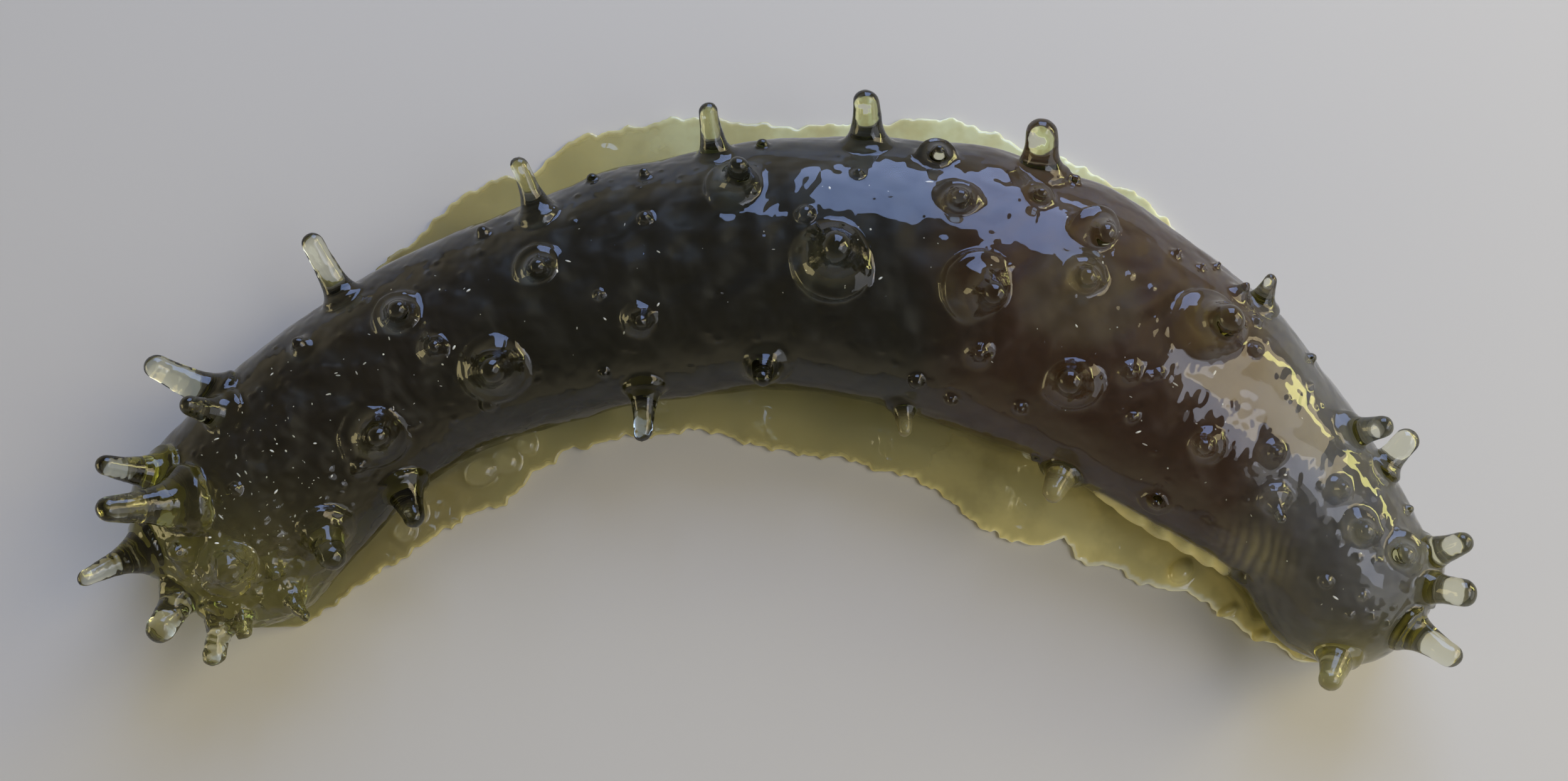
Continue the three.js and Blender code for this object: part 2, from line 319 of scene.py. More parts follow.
# A row of small buds low on the outer flank, one for each station and a little out of line.
FLANK_BUDS = [[1.6 + i, -22 + 5 * math.sin(2.4 * i), 4, 2.8, 1.5] for i in range(8)]
SHAFT_TAPER = 1.7
FLARE_WIDTH = 0.6
FLARE_HEIGHT = 0.45
DOME_SQUARENESS = 2.2
MOST_CROOK = 0.07
LEAST_ROUNDNESS = 0.9
FOOT_SINK = 3 * MM
RING_SPACING = 0.3 * MM
RING_DEPTH = 0.07 * MM
CROWN_END = 1.2
CROWN_RING_DEPTH = 0.3 * MM
PAPILLA_LEVELS = 60
PAPILLA_SIDES = 40
PAPILLA_SEED = 11

dice = np.random.default_rng(PAPILLA_SEED)


def papilla_radius(height, length, foot, tip, ring_depth):
    """The radius of a papilla at heights above the skin: foot flare, taper, tool rings and domed tip."""
    level = np.clip(height / length, 0, 1)
    radius = tip + (foot - tip) * (1 - level) ** SHAFT_TAPER
    flare = FLARE_WIDTH * foot * np.exp(-np.clip(height, 0, None) / (FLARE_HEIGHT * foot))
    rings = ring_depth * np.sin(height / RING_SPACING) * np.sin(math.pi * level) * (1 - level)
    past_dome = np.clip((height - (length - tip)) / tip, 0, 1)
    return (radius + flare * (1 - level) + rings) * np.sqrt(1 - past_dome**DOME_SQUARENESS)


def papilla_axis(along, around, lean_head=0, lean_inner=0):
    """The point a papilla stands on, the way it points and the way to the inner side."""
    point, outward, headward, innerward = skin_frame(np.array(along), np.radians(around))
    axis = outward + math.tan(math.radians(lean_head)) * headward
    axis += math.tan(math.radians(lean_inner)) * innerward
    return point, axis / np.linalg.norm(axis), innerward


def make_papilla(along, around, length, foot, tip, lean_head=0, lean_inner=0):
    """One papilla, turned about its own slightly crooked axis and stood on the skin."""
    length, foot, tip = length * MM, foot * MM, tip * MM
    point, axis, innerward = papilla_axis(along, around, lean_head, lean_inner)
    side = np.cross(axis, innerward)
    side /= np.linalg.norm(side)
    across = np.cross(axis, side)
    ease = np.sin(np.linspace(0, math.pi / 2, PAPILLA_LEVELS))
    height = -FOOT_SINK + (length + FOOT_SINK) * ease
    ring_depth = CROWN_RING_DEPTH if along < CROWN_END else RING_DEPTH
    radius = papilla_radius(height, length, foot, tip, ring_depth)
    crook = dice.uniform(-MOST_CROOK, MOST_CROOK, 2) * length
    roundness = dice.uniform(LEAST_ROUNDNESS, 1)
    sway = np.clip(height / length, 0, 1)[:, None] ** 2
    centre = point + height[:, None] * axis + sway * (crook[0] * side + crook[1] * across)
    turn = np.linspace(0, 2 * math.pi, PAPILLA_SIDES, endpoint=False)
    ring = np.cos(turn)[:, None] * side + roundness * np.sin(turn)[:, None] * across
    rings = centre[:, None, :] + radius[:, None, None] * ring[None, :, :]
    return make_tube(np.concatenate([np.repeat(centre[:1, None], PAPILLA_SIDES, axis=1), rings]))


papillae = [make_papilla(*row) for row in PAPILLAE + FLANK_BUDS]
print("papillae:", len(papillae))

# %% [markdown]
# Between the papillae sit small warts, round drops no more than two millimetres high.
# They are balls sunk a little over half into the skin, each at its own place.

# %% The warts
# Each row is: station along, degrees around and radius in mm.
WARTS = [
    [0.42, 138, 1.3], [0.86, 93, 1.5], [2.62, 138, 1.8], [2.98, 45, 2.0], [3.46, 141, 1.3], [3.58, 102, 1.5],
    [3.70, 30, 1.5], [3.98, 72, 1.9], [4.02, 42, 1.8], [4.74, 33, 1.6], [4.98, 81, 2.3], [5.30, 60, 1.5],
    [5.90, 147, 2.0], [6.22, 153, 1.8], [6.54, 33, 1.7], [6.78, 144, 1.7], [7.14, 177, 1.3], [7.22, 48, 1.6],
    [7.38, 45, 1.3], [7.46, 33, 1.3], [7.46, 105, 1.2], [7.50, 102, 1.2], [7.54, 123, 1.5], [7.82, 51, 1.3],
    [7.90, 66, 1.5], [8.22, 36, 1.5], [8.30, 54, 0.9], [9.18, 42, 1.4], [9.30, 120, 1.5], [9.50, 105, 1.0],
    [9.58, 117, 1.0], [9.66, 105, 1.0], [9.74, 96, 1.0],
]
WART_LIFT = 0.25


def make_ball(centre, radius, levels=24, sides=32):
    """A ball as a tube whose rings shrink to both poles."""
    tilt = np.linspace(0, math.pi, levels)[:, None, None]
    turn = np.linspace(0, 2 * math.pi, sides, endpoint=False)[None, :, None]
    east, north, top = np.eye(3)
    ring = np.sin(tilt) * (np.cos(turn) * east + np.sin(turn) * north) + np.cos(tilt) * top
    return make_tube(centre + radius * ring[::-1])


def make_wart(along, around, radius):
    """One drop-shaped wart on the skin."""
    point, outward, _, _ = skin_frame(np.array(along), np.radians(around))
    return make_ball(point + WART_LIFT * radius * MM * outward, radius * MM)


warts = [make_wart(*row) for row in WARTS]
print("warts:", len(warts))

# %% [markdown]
# The flash is the sheet of resin that crept out under the mould. It is nearly two millimetres thick out to
# its torn edge and rises in a hollow curve to meet the flanks, so it reads as one pour with the body.
# Its edge wanders in long waves with finer and finer tears on them.

# %% The flash
FLASH_EDGE = 1.8 * MM
FLASH_ROOT = 2.5 * MM
FLASH_FALL = 3 * MM
FLASH_STEPS = 1500
FLASH_END_STEPS = 200
FLASH_ROWS = 60
ROOT_START = 0.8
EDGE_STEEPNESS = 3
END_THINNING = 4
TEAR_SIZE = 0.7 * MM
INNER, OUTER = 1, -1
# Bays and lips of the torn edge. Each row is: side, station along, half width in stations, and mm outwards.
BAYS = [
    [INNER, 1.2, 0.2, 2.5], [INNER, 2.3, 0.3, 1.5], [INNER, 2.95, 0.1, -2.5], [INNER, 4.65, 0.25, 2],
    [INNER, 6.5, 0.25, -2.5], [INNER, 7.5, 0.2, 3], [INNER, 7.86, 0.1, -3.5], [INNER, 8.1, 0.1, 3],
    [INNER, 8.6, 0.35, 2], [INNER, 9.75, 0.1, -3],
    [OUTER, 2.7, 0.15, 2], [OUTER, 3.3, 0.15, -3], [OUTER, 4.98, 0.12, -1.5], [OUTER, 6.3, 0.15, -3],
    [OUTER, 6.95, 0.2, 2],
]


def torn_edge(along, side):
    """How far the torn edge strays from its smooth course: long waves with finer tears on them."""
    long_wave = np.sin(9 * along) + 0.6 * np.sin(23 * along + side)
    fine = 0.5 * np.sin(47 * along + 2 * side) + 0.4 * np.sin(71 * along + side) * np.sin(13 * along)
    finest = 0.3 * np.sin(131 * along + 3 * side) * np.sin(37 * along + side) ** 2
    bays = sum(row[3] * np.exp(-(((along - row[1]) / row[2]) ** 2)) for row in BAYS if row[0] == side)
    return TEAR_SIZE * (long_wave + fine + finest) + MM * bays


def make_flash():
    """The flash as a flat tube: out along the floor to the torn edge and back on top."""
    along = ring_stations(FLASH_STEPS, FLASH_END_STEPS)[:, None]
    share = rounding(along)
    point, inward = axis_frame(along)
    half = column_at(HALF_WIDTH, along) * share
    reach_in = (column_at(INNER_REACH, along) + torn_edge(along, INNER)) * share
    reach_out = (column_at(OUTER_REACH, along) + torn_edge(along, OUTER)) * share
    spread = np.linspace(-1, 1, FLASH_ROWS)[None, :]
    offset = np.where(spread > 0, reach_in * spread, reach_out * spread)
    clear_of_flank = np.maximum(0, np.abs(offset) - ROOT_START * half)
    top = FLASH_EDGE + FLASH_ROOT * np.exp(-clear_of_flank / FLASH_FALL)
    top = np.minimum(top, FLASH_EDGE + (1 - np.abs(spread)) * EDGE_STEEPNESS * reach_in)
    upper = point + inward * offset[..., None]
    lower = upper.copy()
    upper[..., 2] = np.maximum(top * np.minimum(1, share * END_THINNING), 0)
    return make_tube(np.concatenate([upper, lower[:, ::-1]], axis=1))


flash = make_flash()
print("flash:", len(flash[1]), "faces")

# %% [markdown]
# Where resin ran down the flank and set on the flash it left low rounded drips. Near the tail a rolled lip
# of it clings to the flank itself. All of them are balls stretched along the body and sunk into it.

# %% The drips and the lip
# Each row is: station along, mm from the axis to the inner side and mm above the floor, then half the
# length, width and height.
DRIPS = [
    [2.2, 31, 1.8, 5, 4, 3.2],
    [2.45, 31, 1.8, 4, 4, 2.7],
    [2.65, 29, 1.8, 3, 3, 2.2],
    [1.45, 29, 1.8, 4, 3.5, 3.2],
    [1.3, 31, 1.8, 3, 3, 2.2],
    [8.7, 31, 1.8, 3.2, 4.2, 2.8],
    [9.3, 27, 1.8, 1.2, 3.5, 1.6],
    [9.6, 22, 1.8, 1.6, 2.8, 2.6],
    [9.8, 15, 3, 3, 2, 3],
]
LIP = [
    [7.8, 33.9, 21, 5, 1.2, 2],
    [8, 33.2, 21, 6, 1.6, 2.4],
    [8.2, 31.8, 20.5, 6, 1.8, 2.6],
    [8.4, 30.2, 20, 6, 1.7, 2.8],
    [8.6, 28.4, 20, 5, 1.8, 2.8],
    [8.78, 26.6, 20, 4, 1.5, 2.4],
]


def drip_place(along, inner, level):
    """The middle of a drip, with the level direction to the inner side of the bend."""
    point, inward = axis_frame(np.array(along))
    return point + inner * MM * inward + [0, 0, level * MM], inward


def make_drip(along, inner, level, half_length, half_width, half_height):
    """A ball stretched along the body, at its own level."""
    centre, inward = drip_place(along, inner, level)
    tailward = np.cross(inward, [0, 0, -1])
    ball, faces = make_ball(np.zeros(3), 1)
    spread = ball[:, :1] * half_length * tailward + ball[:, 1:2] * half_width * inward
    spread[:, 2] = np.maximum(ball[:, 2] * half_height, 1 - level)
    return centre + spread * MM, faces


drips = [make_drip(*row) for row in DRIPS + LIP]
print("drips:", len(drips))

# %% [markdown]
# Now all of it becomes one skin. The pieces overlap, and glass inside glass would show every joint, so they
# are remeshed together on a fine grid of cells, which keeps only the outside. Smoothing then takes away the
# trace of the grid and rounds the corners between pieces, as surface tension did in the resin.

# %% One skin
CELL = 0.6 * MM
SMOOTHING_ROUNDS = 12
SHRINK, REGROW = 0.55, -0.57


def remesh(name, shapes, cell):
    """The outside of many overlapping closed shapes as one closed mesh, on a grid of cells."""
    rough = make_object(name, *join_shapes(shapes))
    grid = rough.modifiers.new("grid", "REMESH")
    grid.mode = "VOXEL"
    grid.voxel_size = cell
    fused = bpy.data.meshes.new_from_object(rough.evaluated_get(bpy.context.evaluated_depsgraph_get()))
    rough.modifiers.clear()
    rough.data = fused
    fused.shade_smooth()
    return rough


def read_points(mesh):
    """The mesh's points as an array."""
    flat = np.empty(len(mesh.vertices) * 3)
    mesh.vertices.foreach_get("co", flat)
    return flat.reshape(-1, 3)


def write_points(mesh, points):
    """Puts an array of points back into the mesh."""
    mesh.vertices.foreach_set("co", points.ravel())
    mesh.update()


def neighbour_mean(points, edges, count):
    """The mean of each point's neighbours."""
    total = np.zeros_like(points)
    for axis in range(3):
        total[:, axis] += np.bincount(edges[:, 0], points[edges[:, 1], axis], len(points))
        total[:, axis] += np.bincount(edges[:, 1], points[edges[:, 0], axis], len(points))
    return total / count[:, None]


def smooth(mesh, rounds):
    """Shrinks and regrows in turn, which evens out the surface but keeps its size."""
    edges = np.empty(len(mesh.edges) * 2, int)
    mesh.edges.foreach_get("vertices", edges)
    edges = edges.reshape(-1, 2)
    points = read_points(mesh)
    count = np.bincount(edges.ravel(), minlength=len(points))
    for _ in range(rounds):
        for amount in (SHRINK, REGROW):
            points += amount * (neighbour_mean(points, edges, count) - points)
    write_points(mesh, points)


skin = remesh("resin_skin", [trunk, flash, *papillae, *warts, *drips], CELL)
smooth(skin.data, SMOOTHING_ROUNDS)
print("skin:", len(skin.data.polygons), "faces")

# %% [markdown]
# A casting is never as smooth as a formula. Long shallow swells, creases along the body and a fine unevenness
# break up its reflections. All of it is real relief, made from many overlapping waves in random directions.

# %% Relief of the skin
WAVES = 28
SHORTEST_WAVE, LONGEST_WAVE = 0.7, 1.5
# Each row is: height and length of the waves in mm, and the seed of their directions.
SWELLS = [[0.25, 30, 1], [0.07, 9, 2], [0.02, 3, 3]]
HEAD_BUMPS = [[0.35, 4.5, 4], [0.12, 1.8, 5]]
# Each place is: station along, degrees around and radius in mm.
HEAD_PLACE = 0.4, 125, 20
WRINKLE_PLACE = 8.85, 146, 8
DIMPLE_PLACE = 8.97, 171, 2.2
WRINKLE_HEIGHT = 0.14 * MM
WRINKLE_LENGTH = 0.4 * MM
WRINKLE_CROOK = 1.3
CROOK_LENGTH, CROOK_SEED = 12 * MM, 6
DIMPLE_DEPTH = 2.6 * MM
FLOOR_MARGIN = 2 * MM


def ripples(points, length, seed):
    """Smooth random unevenness of about one in height, from waves of about one length."""
    draw = np.random.default_rng(seed)
    direction = draw.normal(size=(WAVES, 3))
    direction /= np.linalg.norm(direction, axis=1, keepdims=True)
    turns = 2 * math.pi / (length * draw.uniform(SHORTEST_WAVE, LONGEST_WAVE, WAVES))
    start = draw.uniform(0, 2 * math.pi, WAVES)
    field = np.zeros(len(points))
    for wave in range(WAVES):
        field += np.sin(points @ direction[wave] * turns[wave] + start[wave])
    return field * math.sqrt(2 / WAVES)


def waves(points, rows):
    """The sum of several kinds of unevenness, in metres."""
    return sum(height * MM * ripples(points, length * MM, seed) for height, length, seed in rows)


def read_normals(mesh):
    """The mesh's outward directions, point by point, as an array."""
    flat = np.empty(len(mesh.vertices) * 3)
    mesh.vertices.foreach_get("normal", flat)
    return flat.reshape(-1, 3)


def near(points, along, around, radius):
    """How close points lie to a place on the skin: 1 there, falling smoothly to 0 past the radius."""
    centre = skin_point(np.array(along), np.radians(around))
    return np.exp(-np.sum((points - centre) ** 2, axis=1) / (radius * MM) ** 2)


def wrinkle_pattern(points):
    """Fine crooked wrinkles across the flank, from -1 to 1."""
    crook = WRINKLE_CROOK * ripples(points, CROOK_LENGTH, CROOK_SEED)
    return np.sin(points[:, 0] / WRINKLE_LENGTH + crook)


def add_relief(mesh):
    """Moves each point of the skin along its own normal."""
    points = read_points(mesh)
    lift = waves(points, SWELLS) + near(points, *HEAD_PLACE) * waves(points, HEAD_BUMPS)
    lift += WRINKLE_HEIGHT * near(points, *WRINKLE_PLACE) * wrinkle_pattern(points)
    lift -= DIMPLE_DEPTH * near(points, *DIMPLE_PLACE)
    lift *= np.clip(points[:, 2] / FLOOR_MARGIN, 0, 1)
    write_points(mesh, points + read_normals(mesh) * lift[:, None])
    return lift


relief = add_relief(skin.data)
print("relief of the skin, lowest and highest:", np.round([relief.min() / MM, relief.max() / MM], 2), "mm")

# %% [markdown]
# Tiny pimples glint all over the fore end, thin out towards the middle and come back at the tail.
# Each is a small round rise of the skin, drawn up from the points close to its centre.

# %% Pimples
# Each field is: how many, from and to which station, and from and to how many degrees around.
PIMPLE_FIELDS = [
    (130, 0.3, 1.6, 60, 150),
    (70, 1.6, 4.5, 40, 150),
    (40, 4.5, 7.5, 60, 150),
    (50, 7.5, 9.8, 50, 150),
]
NARROWEST_PIMPLE, WIDEST_PIMPLE = 0.45, 0.8
PIMPLE_HEIGHT = 0.55
PIMPLE_REACH = 3
PIMPLE_SEED = 5


def make_search_tree(points):
    """A tree that finds the points near a place."""
    tree = kdtree.KDTree(len(points))
    for index, point in enumerate(points):
        tree.insert(point, index)
    tree.balance()
    return tree


def add_pimples(mesh):
    """Raises small round pimples at random places within each field of the skin."""
    draw = np.random.default_rng(PIMPLE_SEED)
    points = read_points(mesh)
    normals = read_normals(mesh)
    tree = make_search_tree(points)
    for count, start, end, low, high in PIMPLE_FIELDS:
        for _ in range(count):
            along = np.array(draw.uniform(start, end))
            centre = skin_point(along, np.radians(draw.uniform(low, high)))
            width = draw.uniform(NARROWEST_PIMPLE, WIDEST_PIMPLE) * MM
            _, nearest, _ = tree.find(centre)
            for _, index, distance in tree.find_range(points[nearest], PIMPLE_REACH * width):
                rise = PIMPLE_HEIGHT * width * math.exp(-((distance / width) ** 2))
                points[index] += rise * normals[index]
    write_points(mesh, points)


add_pimples(skin.data)
print("pimples:", sum(row[0] for row in PIMPLE_FIELDS))

# %% [markdown]
# Painted glints are scattered over the body, most of them over the fore end. Each is a silvery white speck
# just under the skin, a small ball drawn out one way, that stands in for a glint of light.

# %% Specks of caught air
# Each field is: how many, from and to which station, and from and to how many degrees around.
SPECK_FIELDS = [
    (30, 0.2, 0.6, 70, 150),
    (75, 0.55, 1.4, 60, 135),
    (40, 1.4, 2.7, 55, 125),
    (40, 2.7, 6.5, 60, 130),
    (40, 6.5, 9.7, 55, 150),
]
SMALLEST_SPECK, LARGEST_SPECK = 0.09, 0.3
SPECK_DEPTH = 0.2 * MM
LONGEST_SPECK = 4
SPECK_LEVELS, SPECK_SIDES = 8, 12
SPECK_SEED = 8


def make_specks(mesh):
    """Small drawn-out balls at random places, just under the skin, as painted glints."""
    draw = np.random.default_rng(SPECK_SEED)
    points = read_points(mesh)
    normals = read_normals(mesh)
    tree = make_search_tree(points)
    ball, faces = make_ball(np.zeros(3), 1, SPECK_LEVELS, SPECK_SIDES)
    specks = []
    for count, start, end, low, high in SPECK_FIELDS:
        for _ in range(count):
            along = np.array(draw.uniform(start, end))
            _, nearest, _ = tree.find(skin_point(along, np.radians(draw.uniform(low, high))))
            centre = points[nearest] - SPECK_DEPTH * normals[nearest]
            course = np.cross(normals[nearest], draw.normal(size=3))
            course /= np.linalg.norm(course)
            longer = (LONGEST_SPECK - 1) * draw.uniform() ** 2
            drawn_out = ball + longer * (ball @ course)[:, None] * course
            radius = SMALLEST_SPECK + (LARGEST_SPECK - SMALLEST_SPECK) * draw.uniform() ** 2
            specks.append((centre + radius * MM * drawn_out, faces))
    return specks


# The specks are painted glints: white balls that stand in for glints of light.
specks = make_specks(skin.data)
painted_glint_specks = make_object("painted_glint_specks", *join_shapes(specks))
print("specks of caught air:", len(specks))

# %% [markdown]
# Thin resin cures a little cloudy. The flash is, most of all along its torn edge, and so are the drips, the
# rolled lip and the tips of a few papillae. Much of this is painted light: the extra cloudiness along the
# torn edge and on the rolled lip is a painted highlight, the flash beside the tail on the inner side is made
# cloudier to lighten it in the body's shade, and the cloudy tips stand in for light shining through clear
# tips. How cloudy the resin is goes into the mesh as one value for each point, from 0 for clear to 1, and the
# material reads it there.

# %% Where the resin is cloudy, and where that paints light
FLASH_TOP = 2.3 * MM
BODY_FOOT = 3.2 * MM
# How cloudy the flash is on either side, at some distances along from the middle, in mm. On the inner side by
# the tail it is raised as painted light, to lighten flash that lies in the body's shade.
INNER_CLOUD_AND_LIGHT = [[-125, 0.07], [-70, 0.19], [20, 0.2], [85, 0.84]]
OUTER_CLOUD = [[-90, 0.22], [-50, 0.3], [-10, 0.48], [85, 0.6]]
OUTER_SIDE = 10 * MM, 25 * MM
# Along the torn edge the cloudiness is a painted highlight, a pale band.
EDGE_PAINTED_HIGHLIGHT, EDGE_BAND, EDGE_POINTS = 0.5, 1.1 * MM, 4000
# The rolled lip is cloudy resin with a painted highlight on it, which makes it pale.
LIP_CLOUD_AND_HIGHLIGHT, LIP_BAND, LIP_POINTS = 0.9, 3 * MM, 80
LIP_PLACE = 8.3, 180, 40
NEAR_ENOUGH = 0.1
DRIP_CLOUD, DRIP_REACH = 0.9, 1.5
WRINKLE_CLOUD, WRINKLE_CONTRAST = 0.16, 0.4
# Each row is: station along, degrees around, radius in mm and how cloudy. The spot at station 9.9 is painted
# light that lightens a clear cone standing in shade.
CLOUD_AND_LIGHT_SPOTS = [[0.4, 130, 20, 0.09], [0.9, 150, 10, 0.06], [9.9, 150, 10, 0.2], [9.55, 20, 12, 0.06]]
# How cloudy the tips of the papillae at some stations are made, as painted light standing in for light
# shining through these clear tips.
PAINTED_TIP_LIGHT = {5.86: 0.16, 7.4: 0.24, 9.82: 0.22}
TIP_LEVEL, TIP_REACH = 0.85, 0.4


def flash_edge(along, side):
    """Points of the flash's torn edge on one side."""
    reach = column_at(INNER_REACH if side == INNER else OUTER_REACH, along) + torn_edge(along, side)
    point, inward = axis_frame(along)
    return point + side * inward * (reach * rounding(along))[:, None] + [0, 0, FLASH_EDGE / 2]


def lip_course():
    """Points along the middle of the rolled lip."""
    rows = np.array(LIP)
    along = np.linspace(rows[0, 0], rows[-1, 0], LIP_POINTS)
    point, inward = axis_frame(along)
    inner, level = (np.interp(along, rows[:, 0], rows[:, column]) * MM for column in (1, 2))
    course = point + inward * inner[:, None]
    course[:, 2] = level
    return course


def distance_to(course, points):
    """How far each point lies from the nearest point of a course."""
    tree = make_search_tree(course)
    return np.array([tree.find(point)[2] for point in points])


def plateau(distance):
    """From 1 near zero distance to nearly 0 past a distance of 1, with a flat top."""
    return np.exp(-(distance**4))


def painted_tip_light_at(points, along, around, length, _, tip, *leans):
    """How cloudy points are that lie near the tip of one papilla, a painted light."""
    foot, axis, _ = papilla_axis(along, around, *leans)
    away = np.linalg.norm(points - foot - TIP_LEVEL * length * MM * axis, axis=1)
    reach = (TIP_REACH * length + tip) * MM
    return PAINTED_TIP_LIGHT[along] * plateau(away / reach)


def drip_cloud(points, along, inner, level, half_width):
    """How strongly points near one drip share the cloudiness of the flash under it."""
    centre, _ = drip_place(along, inner, level)
    away = np.linalg.norm(points - centre, axis=1)
    return DRIP_CLOUD * plateau(away / (DRIP_REACH * half_width * MM))


def flash_cloud_and_light(points):
    """How cloudy the flash is at each point, by distance along and by side, with painted light by the tail.
    """
    inner, outer = (np.interp(points[:, 0] / MM, *np.array(rows).T) for rows in (INNER_CLOUD_AND_LIGHT, OUTER_CLOUD))
    start, end = OUTER_SIDE
    return inner + (outer - inner) * np.clip((points[:, 1] - start) / (end - start), 0, 1)


def add_line_clouds_and_highlights(points, cloud_and_light):
    """Adds the cloudiness of the wrinkles, the painted highlight of the torn edge and the partly painted
    rolled lip.
    """
    pattern = 1 - WRINKLE_CONTRAST + WRINKLE_CONTRAST * wrinkle_pattern(points)
    cloud_and_light += WRINKLE_CLOUD * near(points, *WRINKLE_PLACE) * pattern
    along = np.linspace(0, LAST, EDGE_POINTS)
    edge = np.concatenate([flash_edge(along, INNER), flash_edge(along, OUTER)])
    low = points[:, 2] < FLASH_TOP
    cloud_and_light[low] += EDGE_PAINTED_HIGHLIGHT * np.exp(-((distance_to(edge, points[low]) / EDGE_BAND) ** 2))
    lip_zone = near(points, *LIP_PLACE) > NEAR_ENOUGH
    cloud_and_light[lip_zone] += LIP_CLOUD_AND_HIGHLIGHT * plateau(distance_to(lip_course(), points[lip_zone]) / LIP_BAND)


def add_cloudiness_and_light(mesh):
    """Writes the value of cloudiness and painted light into the mesh."""
    points = read_points(mesh)
    flash_cloud_and_light_here = flash_cloud_and_light(points)
    cloud_and_light = flash_cloud_and_light_here * np.clip((BODY_FOOT - points[:, 2]) / (BODY_FOOT - FLASH_TOP), 0, 1)
    for *place, amount in CLOUD_AND_LIGHT_SPOTS:
        cloud_and_light = np.maximum(cloud_and_light, amount * near(points, *place))
    for along, inner, level, _, half_width, _ in DRIPS:
        cloud_and_light = np.maximum(cloud_and_light, flash_cloud_and_light_here * drip_cloud(points, along, inner, level, half_width))
    for row in PAPILLAE:
        if row[0] in PAINTED_TIP_LIGHT:
            cloud_and_light = np.maximum(cloud_and_light, painted_tip_light_at(points, *row))
    add_line_clouds_and_highlights(points, cloud_and_light)
    cloud_and_light = np.clip(cloud_and_light, 0, 1)
    mesh.attributes.new("cloud_and_light", "FLOAT", "POINT").data.foreach_set("value", cloud_and_light)
    return cloud_and_light


skin_cloud_and_light = add_cloudiness_and_light(skin.data)
print("mean cloudiness of the skin:", round(float(np.mean(skin_cloud_and_light)), 3))

# %% [markdown]
# The core is the dark casting inside. It lies close under the skin on top and on the outer side of the bend,
# and well back from it on the inner side, where a band of clear resin shows. At the head end it stops short,
# so that end is clear. All that shows of it is its colour through the resin, so one closed body, a little
# uneven, is enough.

# %% The core
CORE_TOP_DEPTH = 3 * MM
CORE_OUTER_DEPTH = 2.5 * MM
CORE_FLOOR = 5 * MM
CORE_START = 0.52
CORE_END = 9.85
CORE_RINGS = 400
CORE_BLUNTNESS = 0.35
CORE_SQUARENESS = 2.2
# Each row is: height and length of the waves in mm, and the seed of their directions.
CORE_WAVES = [[0.35, 9, 7], [0.12, 3, 9]]
# How deep the core lies under the inner flank, in mm, at stations from head to tail.
INNER_DEPTH_AT = [0.5, 1, 2, 3, 4, 5, 8, 9, 10]
INNER_DEPTHS = [14, 9, 6.5, 8, 6, 3.5, 3, 4.5, 6]


def make_core():
    """The dark core as one tube, set in from the skin by its own depth on each side."""
    ease = (1 - np.cos(np.linspace(0, math.pi, CORE_RINGS)))[:, None] / 2
    along = CORE_START + (CORE_END - CORE_START) * ease
    around = np.linspace(0, 2 * math.pi, TRUNK_SIDES, endpoint=False)[None, :]
    along, around = np.broadcast_arrays(along, around)
    to_head = np.clip((along - CORE_START) / CORE_BLUNTNESS, 0, 1)
    to_tail = np.clip((CORE_END - along) / CORE_BLUNTNESS, 0, 1)
    share = np.sqrt(1 - (1 - to_head) ** CORE_SQUARENESS) * np.sqrt(1 - (1 - to_tail) ** CORE_SQUARENESS)
    point, inward = axis_frame(along)
    half = column_at(HALF_WIDTH, along) * rounding(along)
    height = column_at(HEIGHT, along) * rounding(along)
    outer = -(half - CORE_OUTER_DEPTH)
    inner = half - MM * np.interp(along, INNER_DEPTH_AT, INNER_DEPTHS)
    centre = (outer + inner) / 2
    reach = (inner - outer) / 2 * share
    top = height - CORE_TOP_DEPTH
    widest = WIDEST_LEVEL * height
    place = point + inward * (centre - np.cos(around) * reach)[..., None]
    up = np.sin(around) * share
    place[..., 2] = np.where(up > 0, widest + (top - widest) * up, widest + (widest - CORE_FLOOR) * up)
    return make_tube(place)


def roughen(mesh, rows):
    """Moves each point along its own normal, by several kinds of unevenness."""
    points = read_points(mesh)
    write_points(mesh, points + read_normals(mesh) * waves(points, rows)[:, None])


core = make_object("dark_core", *make_core())
roughen(core.data, CORE_WAVES)
print("core:", len(core.data.polygons), "faces")

# %% [markdown]
# Materials are node trees. This small class lets their maths be written as Python: a + b on two of these
# adds an Add node and gives its output. Any other node comes from one method, which sets the node's settings
# first and then the values or links of its sockets.

# %% Node helper


